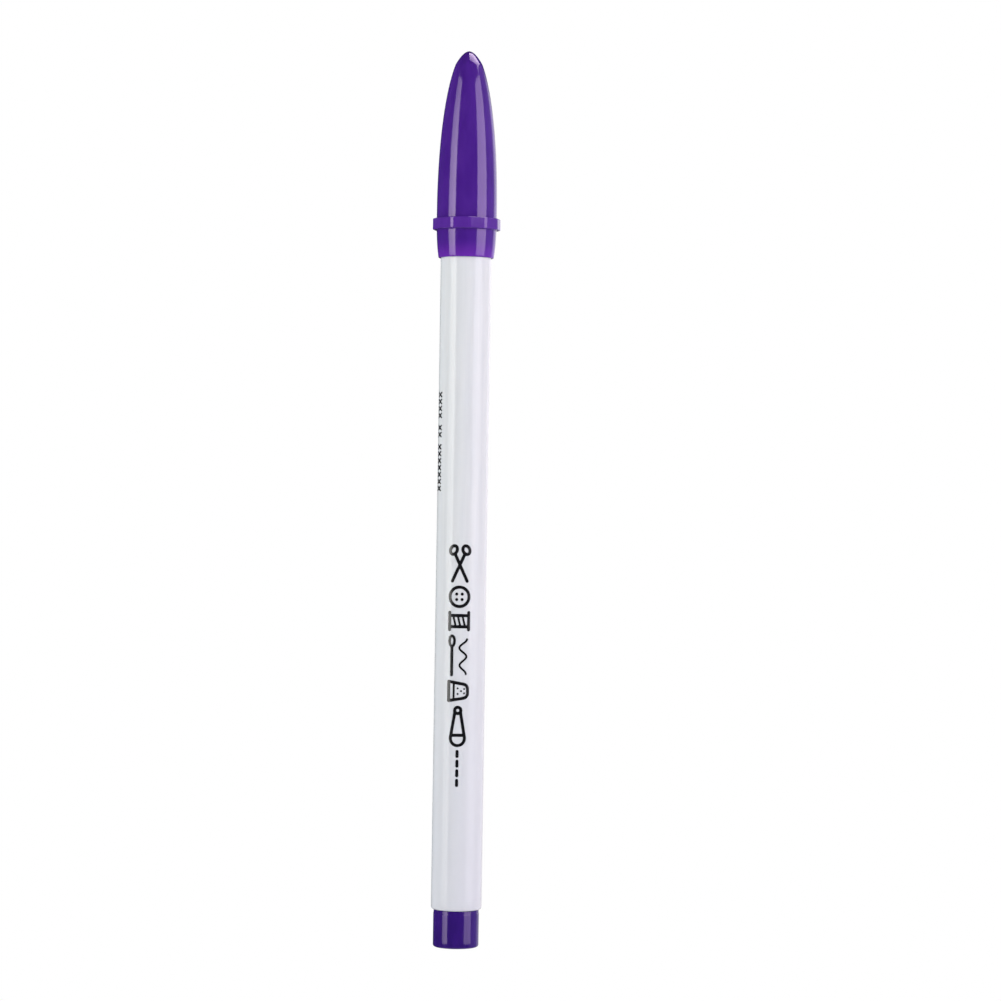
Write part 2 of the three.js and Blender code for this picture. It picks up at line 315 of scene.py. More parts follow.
def violet_plastic(name, deep, light, glow=None, glow_z=(0, 1), roughness=0.09, sheen_and_grain=None):
    """Glossy moulded violet.

    From the first height of glow_z to the second it turns to the glow colour, a painted glow that
    stands for light passing through the thin wall there. The collar is mixed halfway with the paler
    collar colour, a painted sheen that stands for the light its flats catch.
    """
    material, tree, shader = new_material(
        name,
        IOR=1.5,
        Specular_IOR_Level=0.58,
        Specular_Tint=(1.0, 0.82, 1.0, 1),
        Subsurface_Weight=0.12,
    )
    shader.inputs["Subsurface Radius"].default_value = (0.5, 0.15, 1.0)
    shader.inputs["Subsurface Scale"].default_value = 0.6 * MM
    clouds = noise(tree, place_mm(tree, (1, 1, 0.4)), 0.45, 2.0)
    colour = blend_colour(tree, grade(tree, clouds, 0.3, 0.7), deep, light)
    if glow:
        # Painted glow: towards the rim the colour is lightened to stand for light that passes through
        # the thin wall there.
        share = grade(tree, height_mm(tree), glow_z[0], glow_z[1], 0.0, 1.0)
        colour = blend_colour(tree, share, colour, glow)
    marks = scuffs(tree)
    shine = grade(tree, marks, 0, 1, roughness, roughness + 0.16)
    peel = noise(tree, place_mm(tree, (1, 1, 0.5)), 1.6, 1.0)
    height = calculate(tree, "ADD", peel, calculate(tree, "MULTIPLY", marks, 0.1))
    if sheen_and_grain:
        # Painted sheen: the collar's colour is lightened halfway to a paler violet, standing for the
        # light its flats catch. Its slightly rougher, finely pitted finish is the collar's moulded
        # texture.
        mask = collar_mask(tree)
        colour = blend_colour(tree, calculate(tree, "MULTIPLY", mask, 0.5), colour, sheen_and_grain)
        shine = calculate(tree, "ADD", shine, calculate(tree, "MULTIPLY", mask, 0.03))
        pits = noise(tree, place_mm(tree), 7.0, 2.0)
        shallow = calculate(tree, "MULTIPLY", mask, 0.25)
        height = calculate(tree, "ADD", height, calculate(tree, "MULTIPLY", pits, shallow))
    link(tree, colour, shader, "Base Color")
    link(tree, shine, shader, "Roughness")
    bump(tree, shader, height, 0.004 * MM)
    return material


def barrel_plastic():
    """Glossy white, a little cooler towards the rear, with faint streaks along the pen."""
    material, tree, shader = new_material(
        "barrel_white", IOR=1.49, Specular_IOR_Level=0.32, Subsurface_Weight=0.2
    )
    shader.inputs["Subsurface Radius"].default_value = (1.0, 0.9, 0.85)
    shader.inputs["Subsurface Scale"].default_value = 0.7 * MM
    streaks = noise(tree, place_mm(tree, (1.5, 1.5, 0.05)), 1.0, 2.0)
    share = grade(tree, streaks, 0.3, 0.7)
    white = blend_colour(tree, share, (0.745, 0.755, 0.785), (0.78, 0.787, 0.81))
    cooler = grade(tree, height_mm(tree), 70, 0)
    link(tree, blend_colour(tree, cooler, white, (0.752, 0.755, 0.81)), shader, "Base Color")
    marks = scuffs(tree)
    link(tree, grade(tree, marks, 0, 1, 0.07, 0.13), shader, "Roughness")
    bump(tree, shader, noise(tree, place_mm(tree, (1, 1, 0.3)), 1.1, 1.0), 0.004 * MM)
    return material


def print_ink():
    """Black transfer film with tiny gaps where it took less well."""
    material, tree, shader = new_material("print_black", IOR=1.5)
    specks = noise(tree, place_mm(tree), 9.0, 2.0, 0.7)
    gaps = grade(tree, specks, 0.66, 0.74)
    colour = blend_colour(tree, gaps, (0.006, 0.006, 0.008), (0.05, 0.05, 0.055))
    link(tree, colour, shader, "Base Color")
    link(tree, grade(tree, noise(tree, place_mm(tree), 2.0), 0.3, 0.7, 0.16, 0.26), shader, "Roughness")
    bump(tree, shader, specks, 0.002 * MM)
    return material


def natural_plastic(name, colour, cloud):
    """Uncoloured, milky polyethylene."""
    material, tree, shader = new_material(name, IOR=1.51, Subsurface_Weight=0.6)
    shader.inputs["Subsurface Radius"].default_value = (1.0, 1.0, 0.9)
    shader.inputs["Subsurface Scale"].default_value = 1.2 * MM
    clouds = noise(tree, place_mm(tree), 0.7, 3.0)
    link(tree, blend_colour(tree, grade(tree, clouds, 0.3, 0.7), colour, cloud), shader, "Base Color")
    link(tree, grade(tree, noise(tree, place_mm(tree), 3.0), 0.3, 0.7, 0.3, 0.42), shader, "Roughness")
    bump(tree, shader, noise(tree, place_mm(tree), 4.0), 0.004 * MM)
    return material


def fibre(name, dark, light, strands_per_mm, damp_z=None):
    """Bundled fibres that run along the pen. Above damp_z the ink makes them darker and shinier."""
    material, tree, shader = new_material(name, IOR=1.45, Sheen_Weight=0.15)
    strands = noise(tree, place_mm(tree, (strands_per_mm, strands_per_mm, 0.25)), 1.0, 3.0, 0.65)
    colour = blend_colour(tree, grade(tree, strands, 0.35, 0.65), dark, light)
    roughness = grade(tree, strands, 0.3, 0.7, 0.6, 0.85)
    if damp_z:
        damp = grade(tree, height_mm(tree), damp_z[0], damp_z[1])
        colour = blend_colour(tree, damp, colour, dark)
        roughness = calculate(tree, "SUBTRACT", roughness, calculate(tree, "MULTIPLY", damp, 0.3))
    link(tree, colour, shader, "Base Color")
    link(tree, roughness, shader, "Roughness")
    bump(tree, shader, strands, 0.05 * MM)
    return material


def clear_film():
    """Thin clear wrapping film with faint creases."""
    material, tree, shader = new_material("clear_film", IOR=1.5, Transmission_Weight=0.85)
    creases = noise(tree, place_mm(tree, (1, 1, 0.15)), 1.2, 3.0)
    tint = blend_colour(tree, grade(tree, creases, 0.3, 0.7), (0.86, 0.88, 0.95), (0.95, 0.96, 1.0))
    link(tree, tint, shader, "Base Color")
    link(tree, grade(tree, creases, 0.3, 0.7, 0.08, 0.22), shader, "Roughness")
    bump(tree, shader, creases, 0.02 * MM)
    return material


# ---- meshes -------------------------------------------------------------------------------------


def finish_mesh(name, points_mm, faces, material, sharp_deg=40):
    """An object of smooth faces, facing out, with edges over sharp_deg left sharp."""
    mesh = bpy.data.meshes.new(name)
    mesh.from_pydata([Vector(p) * MM for p in points_mm], [], faces)
    tidy = bmesh.new()
    tidy.from_mesh(mesh)
    bmesh.ops.recalc_face_normals(tidy, faces=tidy.faces)
    tidy.to_mesh(mesh)
    tidy.free()
    mesh.shade_smooth()
    mesh.set_sharp_from_angle(angle=math.radians(sharp_deg))
    mesh.materials.append(material)
    piece = bpy.data.objects.new(name, mesh)
    bpy.context.scene.collection.objects.link(piece)
    return piece


def filleted(corners, closed, steps=5):
    """An outline through (r, z, fillet) corners, with an arc of radius fillet at each corner."""
    points = []
    count = len(corners)
    for i, (r, z, fillet) in enumerate(corners):
        end = not closed and i in (0, count - 1)
        if fillet == 0 or end:
            points.append((r, z))
            continue
        here = Vector((r, z))
        back = (Vector(corners[i - 1][:2]) - here).normalized()
        on = (Vector(corners[(i + 1) % count][:2]) - here).normalized()
        half = back.angle(on) / 2
        centre = here + (back + on).normalized() * (fillet / math.sin(half))
        start = here + back * (fillet / math.tan(half)) - centre
        stop = here + on * (fillet / math.tan(half)) - centre
        turn = start.angle_signed(stop)
        for k in range(steps + 1):
            angle = math.atan2(start.y, start.x) - turn * k / steps
            points.append((centre.x + fillet * math.cos(angle), centre.y + fillet * math.sin(angle)))
    return points


def divided(points, longest, closed=False):
    """The outline with points added, so that no stretch of it is longer than longest."""
    result = []
    pairs = list(zip(points, points[1:] + points[:1]))
    for (r0, z0), (r1, z1) in pairs if closed else pairs[:-1]:
        parts = max(1, math.ceil(math.hypot(r1 - r0, z1 - z0) / longest))
        for k in range(parts):
            result.append((r0 + (r1 - r0) * k / parts, z0 + (z1 - z0) * k / parts))
    return result if closed else result + [points[-1]]


def lathe(name, outline, material, closed, angles=None, radius_at=None, centre=(0, 0)):
    """Turns an outline of (r, z) about Z. radius_at(r, z, angle) may change a radius as it turns."""
    if angles is None:
        angles = [2 * math.pi * k / SEGMENTS for k in range(SEGMENTS)]
    count = len(angles)
    points = []
    rings = []
    for r, z in outline:
        first = len(points)
        if r < 1e-6:
            points.append((centre[0], centre[1], z))
            rings.append([first] * count)
            continue
        for angle in angles:
            radius = radius_at(r, z, angle) if radius_at else r
            x, y = radius * math.cos(angle), radius * math.sin(angle)
            points.append((centre[0] + x, centre[1] + y, z))
        rings.append(list(range(first, first + count)))
    faces = []
    for low, high in zip(rings, rings[1:] + rings[:1] if closed else rings[1:]):
        for k in range(count):
            corners = [low[k], low[(k + 1) % count], high[(k + 1) % count], high[k]]
            face = [c for i, c in enumerate(corners) if c != corners[i - 1]]
            faces.append(face)
    return finish_mesh(name, points, faces, material)


def smooth_step(share):
    """0 below 0, 1 above 1, and an eased rise between them."""
    share = min(1, max(0, share))
    return share * share * (3 - 2 * share)


# ---- the cap ------------------------------------------------------------------------------------


def ogive(radius, height, z):
    """Radius of an ogive of that base radius and height, at a height above the cap's waist."""
    share = max(0, (z - CAP_WAIST_Z) / height)
    return radius * math.sqrt(max(0, 1 - share**CAP_OGIVE_SHAPE))


def cap_radius(z):
    """The cap's outer radius, without the collar, at a height."""
    if z < CAP_WAIST_Z:
        share = (CAP_WAIST_Z - z) / (CAP_WAIST_Z - CAP_RIM_Z)
        return CAP_R - CAP_SKIRT_IN * share**CAP_SKIRT_SHAPE
    point = CAP_TIP_WIDTH * (PEN_LENGTH - z) ** CAP_TIP_SHAPE
    return min(ogive(CAP_R, CAP_OGIVE_H, z), point)


DOME_CROWDING = 2.2


def dome(radius_at, from_z, top_z, steps):
    """Points of an outline up to its top, closer together where it curves in."""
    points = []
    for i in range(steps + 1):
        z = top_z - (top_z - from_z) * (1 - i / steps) ** DOME_CROWDING
        points.append((radius_at(z), z))
    return points


def stretch(radius_at, from_z, to_z, steps):
    """Evenly spaced points of an outline between two heights."""
    heights = [from_z + (to_z - from_z) * i / steps for i in range(steps + 1)]
    return [(radius_at(z), z) for z in heights]


def cap_angles():
    """One degree apart, with a few more angles where the collar's flats end."""
    wanted = {(COLLAR_TURN_DEG + k) % 360 for k in range(360)}
    corner_half = 0.3
    for k in range(COLLAR_SIDES):
        middle = COLLAR_TURN_DEG + 360 / COLLAR_SIDES * k
        for end in (-COLLAR_ROUND_PART_DEG / 2, COLLAR_ROUND_PART_DEG / 2):
            for off in (-corner_half, corner_half):
                wanted.add((middle + end + off) % 360)
    return [math.radians(a) for a in sorted(wanted)]


def collar_share(angle):
    """The collar's radius at an angle, as a share of its full radius: twelve flats cut into a disc."""
    step = 2 * math.pi / COLLAR_SIDES
    half_round = math.radians(COLLAR_ROUND_PART_DEG / 2)
    off = abs((angle - math.radians(COLLAR_TURN_DEG) + step / 2) % step - step / 2)
    flat = math.cos(step / 2 - half_round) / math.cos(step / 2 - off)
    return min(1, flat)


def collar_r():
    """The collar's full radius, from the width of the CAD node."""
    half_round = math.radians(COLLAR_ROUND_PART_DEG / 2)
    return CAP_HIGH.x / math.cos(math.radians(COLLAR_TURN_DEG) - half_round)


def cap_outline():
    """The cap's wall as a closed outline: up the outside and down the inside."""
    foot_r = cap_radius(COLLAR_LOW_Z)
    top_r = cap_radius(COLLAR_HIGH_Z)
    edge = collar_r()
    rim_r = cap_radius(CAP_RIM_Z)
    rim_corners = [
        (CAP_BORE_R, CAP_RIM_Z + 1, 0),
        (CAP_BORE_R, CAP_RIM_Z, 0.04),
        (rim_r, CAP_RIM_Z, 0.22),
        (cap_radius(CAP_RIM_Z + 0.6), CAP_RIM_Z + 0.6, 0),
    ]
    rim = filleted(rim_corners, closed=False)[1:-1]
    collar_corners = [
        (foot_r, COLLAR_LOW_Z - 1, 0),
        (foot_r, COLLAR_LOW_Z, COLLAR_FOOT),
        (edge, COLLAR_LOW_Z, COLLAR_EDGE_ROUND),
        (edge, COLLAR_HIGH_Z, COLLAR_EDGE_ROUND),
        (top_r, COLLAR_HIGH_Z, 0.06),
        (top_r, COLLAR_HIGH_Z + 1, 0),
    ]
    collar = filleted(collar_corners, closed=False, steps=6)[1:-1]
    skirt = stretch(cap_radius, CAP_RIM_Z + 0.4, COLLAR_LOW_Z - COLLAR_FOOT - 0.1, 14)
    above = stretch(cap_radius, COLLAR_HIGH_Z + 0.12, 124, 14)
    tip = dome(cap_radius, SHOULDER_Z, PEN_LENGTH, 60)
    cavity_top = CAP_WAIST_Z + CAP_CAVITY_H
    cavity = dome(lambda z: ogive(CAP_CAVITY_R, CAP_CAVITY_H, z), SHOULDER_Z, cavity_top, 24)
    bore = [(CAP_CAVITY_R, CAP_STOP_Z), (CAP_BORE_R, CAP_STOP_Z), (CAP_BORE_R, CAP_RIM_Z + 0.1)]
    return rim + skirt + collar + above + tip + list(reversed(cavity)) + divided(bore, 0.3)


def cap_radius_at(r, z, angle):
    """Cuts the collar's flats and raises the grip ribs in the bore."""
    if COLLAR_LOW_Z - 0.01 < z < COLLAR_HIGH_Z + 0.01 and r > CAP_R + COLLAR_FOOT:
        return r * collar_share(angle)
    if abs(r - CAP_BORE_R) < 0.005 and CAP_RIM_Z + 0.6 < z < CAP_STOP_Z:
        step = 2 * math.pi / RIB_COUNT
        off = abs((angle + step / 2) % step - step / 2)
        across = smooth_step((math.radians(RIB_HALF_DEG) - off) / math.radians(RIB_SLOPE_DEG) + 0.5)
        along = smooth_step((z - CAP_RIM_Z - RIB_START) / RIB_LEAD)
        return r - (CAP_BORE_R - RIB_R) * across * along
    return r


def make_cap(material):
    """The whole outer cap, turned as one closed wall."""
    cap = lathe("cap", cap_outline(), material, True, cap_angles(), cap_radius_at)
    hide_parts("cap_shell")
    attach(cap, "cap")


def make_liner(material):
    """The soft cup inside the cap."""
    top = LINER_HIGH.z - CAP_WAIST_Z
    outside = dome(lambda z: ogive(LINER_OUTER_R, top, z), SHOULDER_Z, LINER_HIGH.z, 24)
    inner_top = top - LINER_TOP_WALL
    inside = dome(lambda z: ogive(LINER_INNER_R, inner_top, z), SHOULDER_Z, CAP_WAIST_Z + inner_top, 24)
    mouth_corners = [
        (LINER_MOUTH_R, LINER_MOUTH_TOP_Z, 0),
        (LINER_MOUTH_R, LINER_LOW.z, 0.15),
        (LINER_MOUTH_OUTER_R, LINER_LOW.z, 0.1),
        (LINER_MOUTH_OUTER_R, LINER_MOUTH_TOP_Z, 0),
    ]
    outline = list(reversed(inside)) + filleted(mouth_corners, closed=False) + outside
    liner = lathe("cap_liner", outline, material, False)
    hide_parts("inner_cap")
    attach(liner, "cap")


# ---- the barrel and its ends --------------------------------------------------------------------


BARREL_SINK = 0.004
BARREL_MIDDLE_SINK = 0.012
BARREL_MIDDLE_Z = 82
BARREL_MIDDLE_SPREAD = 24


def barrel_radius_at(r, z, angle):
    """The outside of a drawn tube is never quite round: its flats wander slowly along it."""
    if r < BARREL_R - 0.02:
        return r
    wander = 0.9 * math.sin(z / 11.0) + 0.5 * math.sin(z / 4.7 + 1.0)
    wave = 0.6 * math.cos(5 * angle + wander) + 0.4 * math.cos(8 * angle - 0.7 * wander + 1.2)
    share = (z - BARREL_MIDDLE_Z) / BARREL_MIDDLE_SPREAD
    depth = BARREL_SINK + BARREL_MIDDLE_SINK * math.exp(-(share**2))
    return r - depth + depth * wave


def make_barrel(material):
    """The white tube, open at both ends."""
    corners = [
        (BARREL_BORE_R, BARREL_LOW.z, 0.15),
        (BARREL_R, BARREL_LOW.z, 0.4),
        (BARREL_R, BARREL_HIGH.z, 0.2),
        (BARREL_BORE_R, BARREL_HIGH.z, 0.1),
    ]
    outline = divided(filleted(corners, closed=True), 1.2, closed=True)
    barrel = lathe("barrel_tube", outline, material, True, radius_at=barrel_radius_at)
    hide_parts("barrel")
    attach(barrel, "pen")


def make_plug(material):
    """A turned head, and a hollow spigot with snap beads that hold it in the barrel."""
    head_r = PLUG_HIGH.x
    head_z = BARREL_LOW.z - PLUG_GAP
    neck_r = head_r - PLUG_NECK_IN
    beads = []
    for z in PLUG_BEAD_HEIGHTS:
        beads.append((PLUG_SPIGOT_R, z - PLUG_BEAD_HALF, 0.2))
        beads.append((PLUG_BEAD_R, z, 0.15))
        beads.append((PLUG_SPIGOT_R, z + PLUG_BEAD_HALF, 0.2))
    corners = [
        (0, 0, 0),
        (head_r, 0, 0.38),
        (head_r, head_z - PLUG_NECK_H - PLUG_NECK_SLOPE, 0.1),
        (neck_r, head_z - PLUG_NECK_H, 0.06),
        (neck_r, head_z, 0.12),
        (PLUG_SPIGOT_R, head_z, 0.05),
        *beads,
        (PLUG_SPIGOT_R, PLUG_HIGH.z, 0.3),
        (PLUG_BORE_R, PLUG_HIGH.z, 0.12),
        (PLUG_BORE_R, PLUG_FLOOR_Z, 0.3),
        (0, PLUG_FLOOR_Z, 0),
    ]
    plug = lathe("rear_plug", divided(filleted(corners, closed=False), 1.0), material, False)
    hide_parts("end_plug")
    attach(plug, "pen")


def make_holder(material):
    """The turned front section: spigot, flange, sealing land, cone and tip, with four air slots."""
    tip_z = HOLDER_HIGH.z
    corners = [
        (SPIGOT_BORE_R, HOLDER_LOW.z, 0.08),
        (SPIGOT_R, HOLDER_LOW.z, 0.3),
        (SPIGOT_R, FLANGE_LOW_Z, 0.04),
        (FLANGE_R, FLANGE_LOW_Z, 0.08),
        (FLANGE_R, FLANGE_HIGH_Z, 0.25),
        (LAND_R, FLANGE_HIGH_Z, 0.12),
        (LAND_R, LAND_TOP_Z, 0.8),
        (HOLDER_TIP_R, tip_z - 1.5, 0.6),
        (HOLDER_TIP_R, tip_z, 0.25),
        (NIB_BORE_R, tip_z, 0.06),
        (NIB_BORE_R, NIB_BORE_LOW_Z, 0.05),
        (SOCKET_R, NIB_BORE_LOW_Z, 0.05),
        (SOCKET_R, SOCKET_TOP_Z, 0.1),
        (SPIGOT_BORE_R, SOCKET_TOP_Z, 0.1),
    ]
    outline = divided(filleted(corners, closed=True), 0.8, closed=True)

    def slotted(r, z, angle):
        """Sinks the air slots into the wall of the nib's bore."""
        if r > NIB_BORE_R + 0.06 or z < NIB_BORE_LOW_Z:
            return r
        step = 2 * math.pi / SLOT_COUNT
        off = abs((angle + step / 2) % step - step / 2) * r
        return r + SLOT_DEPTH * smooth_step((SLOT_HALF - off) / SLOT_SLOPE)

    holder = lathe("front_section", outline, material, True, radius_at=slotted)
    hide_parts("nib_holder")
    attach(holder, "pen")


# ---- what writes --------------------------------------------------------------------------------


def make_nib(material):
    """A sintered fibre nib with shallow flutes and a rounded writing point."""
    r = NIB_HIGH.x
    corners = [
        (0, NIB_LOW.z, 0),
        (r - 0.4, NIB_LOW.z, 0.1),
        (r, NIB_LOW.z + 0.9, 0.2),
        (r, NIB_TAPER_Z, 0.6),
        (NIB_POINT_R, NIB_HIGH.z - 0.38, 0.2),
        (0.2, NIB_HIGH.z, 0.12),
        (0, NIB_HIGH.z, 0),
    ]

    def fluted(radius, z, angle):
        """Sinks the flutes, which fade out towards the point."""
        wave = (1 - math.cos(NIB_FLUTES * angle)) / 2
        return radius - NIB_FLUTE_DEPTH * wave * smooth_step(radius / r)

    outline = divided(filleted(corners, closed=False), 0.5)
    nib = lathe("fibre_nib", outline, material, False, radius_at=fluted)
    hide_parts("nib")
    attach(nib, "pen")


def make_reservoir(fibre_material, film_material, straw_material):
    """The ink-soaked bundle with a groove for the breather straw, in its film sleeve."""
    bundle_r = FIBRE_HIGH.x
    straw_y = (STRAW_LOW.y + STRAW_HIGH.y) / 2

    def grooved(r, z, angle):
        """Follows the groove's wall where the straw lies, and ripples a little elsewhere."""
        ripple = 0.015 * math.cos(40 * angle + math.sin(z / 7))
        off = angle - math.pi / 2
        across = straw_y * math.sin(off)
        if r < bundle_r - 0.3 or abs(across) >= GROOVE_R or math.cos(off) < 0:
            return r - abs(ripple) if r > bundle_r - 0.3 else r
        wall = straw_y * math.cos(off) - math.sqrt(GROOVE_R**2 - across**2)
        return min(r, wall)

    low, high = FIBRE_LOW.z, FIBRE_HIGH.z
    pocket = [(0, high - POCKET_DEPTH), (POCKET_R, high - POCKET_DEPTH), (POCKET_R, high)]
    rim = [(BUNDLE_END_R, high), (bundle_r - BUNDLE_EDGE, high)]
    side = divided([(bundle_r, high - BUNDLE_EDGE), (bundle_r, low + BUNDLE_EDGE)], 2)
    end = [(bundle_r - BUNDLE_EDGE, low), (BUNDLE_END_R, low), (0, low)]
    outline = pocket + rim + side + end
    bundle = lathe("ink_reservoir", outline, fibre_material, False, radius_at=grooved)
    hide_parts("reservoir_fibre")

    film_r = FILM_HIGH.x
    corners = [
        (film_r - FILM_WALL, FILM_LOW.z, 0.02),
        (film_r, FILM_LOW.z, 0.04),
        (film_r, FILM_HIGH.z, 0.04),
        (film_r - FILM_WALL, FILM_HIGH.z, 0.02),
    ]
    outline = divided(filleted(corners, True, 3), 2, True)
    film = lathe("reservoir_sleeve", outline, film_material, True)
    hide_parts("reservoir_film")

    straw_r = (STRAW_HIGH.x - STRAW_LOW.x) / 2
    corners = [
        (STRAW_BORE_R, STRAW_LOW.z, 0.03),
        (straw_r, STRAW_LOW.z, 0.05),
        (straw_r, STRAW_HIGH.z, 0.05),
        (STRAW_BORE_R, STRAW_HIGH.z, 0.03),
    ]
    outline = divided(filleted(corners, True, 3), 3, True)
    angles = [2 * math.pi * k / STRAW_SEGMENTS for k in range(STRAW_SEGMENTS)]
    straw = lathe("air_straw", outline, straw_material, True, angles, centre=(0, straw_y))
    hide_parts("breather_tube")
    for piece in (bundle, film, straw):
        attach(piece, "pen")


# ---- the printed marks --------------------------------------------------------------------------

INK_THICK = 0.02
INK_SUNK = 0.03


def arc(x, y, radius, from_deg, to_deg, steps=24):
    """Points along a round arc."""
    angles = [math.radians(from_deg + (to_deg - from_deg) * k / steps) for k in range(steps + 1)]
    return [(x + radius * math.cos(a), y + radius * math.sin(a)) for a in angles]


def segment_distance(x, y, start, stop):
    """Distance from each point of a grid to a straight segment."""
    dx, dy = stop[0] - start[0], stop[1] - start[1]
    length = max(dx * dx + dy * dy, 1e-12)
    share = np.clip(((x - start[0]) * dx + (y - start[1]) * dy) / length, 0, 1)
    return np.hypot(x - start[0] - share * dx, y - start[1] - share * dy)


def stroke_distance(x, y, strokes):
    """How far each point of a grid lies outside the strokes, which are (points, width)."""
    best = np.full(x.shape, 9.0)
    for points, width in strokes:
        for start, stop in zip(points, points[1:]):
            best = np.minimum(best, segment_distance(x, y, start, stop) - width / 2)
    return best


def traced_faces(x, y, depth):
    """Faces that fill the part of a grid where depth is negative, and their flat points."""
    points = []
    known = {}

    def point(key, px, py):
        """The number of the point with that key, which is made if it is new."""
        if key not in known:
            known[key] = len(points)
            points.append((px, py))
        return known[key]

    faces = []
    rows, columns = depth.shape
    for i in range(rows - 1):
        for j in range(columns - 1):
            corners = [(i, j), (i, j + 1), (i + 1, j + 1), (i + 1, j)]
            values = [depth[c] for c in corners]
            if min(values) >= 0:
                continue
            face = []
            for k in range(4):
                a, b = corners[k], corners[(k + 1) % 4]
                va, vb = values[k], values[(k + 1) % 4]
                if va < 0:
                    face.append(point((a, a), x[a], y[a]))
                if (va < 0) != (vb < 0):
                    share = min(0.95, max(0.05, va / (va - vb)))
                    first, second = (a, b) if a < b else (b, a)
                    if first != a:
                        share = 1 - share
                    px = x[first] + (x[second] - x[first]) * share
                    py = y[first] + (y[second] - y[first]) * share
                    face.append(point((first, second), px, py))
            if len(face) > 2:
                faces.append(face)
    return points, faces


def make_print(name, strokes, top_z, centre_deg, pitch, material):
    """Strokes drawn on a flat sheet, laid on the barrel as a thin film.

    The sheet's x runs down the pen from top_z, and its y runs round the pen from centre_deg, which
    is measured from -Y towards +X.
    """
    every = [p for points, width in strokes for p in points]
    margin = 0.4
    xs = np.arange(min(p[0] for p in every) - margin, max(p[0] for p in every) + margin, pitch)
    ys = np.arange(min(p[1] for p in every) - margin, max(p[1] for p in every) + margin, pitch)
    y, x = np.meshgrid(ys, xs, indexing="xy")
    flat, tops = traced_faces(x, y, stroke_distance(x, y, strokes))
    solid = []
    for radius in (BARREL_R + INK_THICK, BARREL_R - INK_SUNK):
        for px, py in flat:
            angle = math.radians(centre_deg - 90) + py / BARREL_R
            solid.append((radius * math.cos(angle), radius * math.sin(angle), top_z - px))
    count = len(flat)
    faces = tops + [[v + count for v in reversed(f)] for f in tops]
    edges = {}
    for f in tops:
        for a, b in zip(f, f[1:] + f[:1]):
            edges[a, b] = True
    for a, b in edges:
        if (b, a) not in edges:
            faces.append([b, a, a + count, b + count])
    piece = finish_mesh(name, solid, faces, material, sharp_deg=50)
    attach(piece, "pen")


# ---- the picture signs --------------------------------------------------------------------------

STROKE = 0.5
FINE_STROKE = 0.32
SIGN_LOW = -2.0
SIGN_HIGH = 1.62
SIGN_MIDDLE = (SIGN_LOW + SIGN_HIGH) / 2
SIGN_GAP = 0.95
SIGNS_TOP_Z = 65.3
SIGNS_FACING_DEG = 0
SIGNS_PITCH = 0.08


def moved(strokes, dx):
    """The strokes, shifted along the pen."""
    return [([(px + dx, py) for px, py in points], width) for points, width in strokes]


def ellipse(x, y, rx, ry, turn_deg=0, steps=32):
    """Points round an ellipse that is turned by turn_deg."""
    turn = math.radians(turn_deg)
    points = []
    for k in range(steps + 1):
        a = 2 * math.pi * k / steps
        px, py = rx * math.cos(a), ry * math.sin(a)
        turned_x = px * math.cos(turn) - py * math.sin(turn)
        turned_y = px * math.sin(turn) + py * math.cos(turn)
        points.append((x + turned_x, y + turned_y))
    return points


def scissors_sign():
    """Two finger rings and two crossed blades."""
    length = 5.8
    strokes = []
    for side in (-1, 1):
        ring_y = SIGN_MIDDLE + 1.03 * side
        blade = [(1.45, ring_y - 0.25 * side), (length, SIGN_MIDDLE - 1.2 * side)]
        strokes.append((ellipse(0.8, ring_y, 0.72, 0.55, 25 * side), STROKE))
        strokes.append((blade, STROKE))
    return strokes, length


def button_sign():
    """A four-hole button."""
    r = (SIGN_HIGH - SIGN_LOW - STROKE) / 2
    strokes = [(ellipse(r, SIGN_MIDDLE, r, r, steps=48), STROKE)]
    hole_off = 0.44
    for dx in (-hole_off, hole_off):
        for dy in (-hole_off, hole_off):
            hole = (r + dx, SIGN_MIDDLE + dy)
            strokes.append(([hole, hole], STROKE))
    return strokes, 2 * r


def spool_sign():
    """A spool of thread standing on its end, with the thread wound across it."""
    low, high = SIGN_LOW + STROKE / 2, SIGN_HIGH - STROKE / 2
    length = 2.8
    left, right = 0.5, 2.3
    strokes = [
        ([(0, low), (length, low)], STROKE),
        ([(0, high), (length, high)], STROKE),
        ([(left, low), (left, high)], STROKE),
        ([(right, low), (right, high)], STROKE),
    ]
    for k in range(3):
        y = low + 0.6 + 0.74 * k
        strokes.append(([(left, y), (right, y + 0.44)], FINE_STROKE))
    return strokes, length


def needle_sign():
    """A needle with an eye, and its thread in waves beside it."""
    low, high = SIGN_LOW + STROKE / 2, SIGN_HIGH - STROKE / 2
    needle_y = low + 0.45
    steps = 40
    thread = []
    for k in range(steps + 1):
        share = k / steps
        swing = 0.62 * math.cos(4 * math.pi * share) * (1 - 0.2 * share)
        thread.append((0.55 + 5.6 * share, high - 0.85 + swing))
    return [
        (ellipse(0.85, needle_y, 0.85, 0.42), STROKE * 0.85),
        ([(1.7, needle_y), (6.3, needle_y)], STROKE),
        (thread, FINE_STROKE),
    ], 6.4


def pin_sign():
    """A safety pin, closed."""
    clasp_r = 1.15
    clasp_x = 4.6
    return [
        (ellipse(0.6, SIGN_MIDDLE, 0.5, 0.5), STROKE),
        ([(0.9, SIGN_MIDDLE + 0.45), (5.0, SIGN_MIDDLE + clasp_r)], STROKE),
        ([(0.9, SIGN_MIDDLE - 0.45), (5.0, SIGN_MIDDLE - clasp_r)], STROKE),
        (arc(5.1, SIGN_MIDDLE, clasp_r, -95, 95), STROKE),
        ([(clasp_x, SIGN_MIDDLE + 1.0), (clasp_x, SIGN_MIDDLE - 1.0)], STROKE),
    ], 6.25


